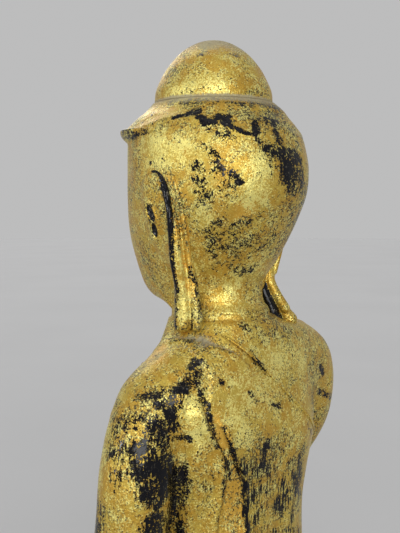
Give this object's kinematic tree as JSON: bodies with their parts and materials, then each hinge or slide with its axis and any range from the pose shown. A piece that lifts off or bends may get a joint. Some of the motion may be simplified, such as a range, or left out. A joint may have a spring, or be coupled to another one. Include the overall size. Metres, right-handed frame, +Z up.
{
  "type": "seated buddha statue",
  "caption": "Gilded and lacquered wooden Buddha seated cross-legged on a lotus throne, right hand reaching down to the seat.",
  "frame": {"origin": "middle of the throne's underside, at the level it stands on", "axes": "+Z up, -Y the way the figure faces, +X towards the figure's own left side"},
  "size_m": [0.25, 0.17, 0.382],
  "materials": {
    "gilding": "worn gold leaf over glossy black lacquer, speckled, with bare black patches and dust in the creases",
    "throne_gilding": "worn gold leaf over black lacquer with ochre tone in the hollows between the petals",
    "hardwood": "plain turned hardwood, unfinished"
  },
  "bodies": {
    "root": {"head_block": "gilding", "ushnisha_dome": "gilding", "hairline_band": "gilding", "left_ear": "gilding", "right_ear": "gilding", "torso_block": "gilding", "robe_hem_back": "gilding", "robe_hem_front": "gilding", "shoulder_cloth": "gilding", "left_upper_arm": "gilding", "right_upper_arm": "gilding", "left_forearm": "gilding", "right_forearm": "gilding", "left_hand": "gilding", "right_hand": "gilding", "legs_block": "gilding", "right_foot": "gilding", "hem_fan": "gilding", "throne_plinth": "throne_gilding", "throne_base": "throne_gilding", "throne_waist": "throne_gilding", "throne_seat": "throne_gilding", "ushnisha_peg": "hardwood", "neck_dowel": "hardwood", "left_ear_peg": "hardwood", "right_ear_peg": "hardwood", "left_shoulder_dowel": "hardwood", "right_shoulder_dowel": "hardwood", "left_elbow_dowel": "hardwood", "right_elbow_dowel": "hardwood", "left_wrist_dowel": "hardwood", "right_wrist_dowel": "hardwood", "waist_dowel_left": "hardwood", "waist_dowel_right": "hardwood", "foot_peg": "hardwood", "plinth_peg_left": "hardwood", "plinth_peg_right": "hardwood", "waist_peg_left": "hardwood", "waist_peg_right": "hardwood", "seat_peg_left": "hardwood", "seat_peg_right": "hardwood"}
  },
  "joints": []
}
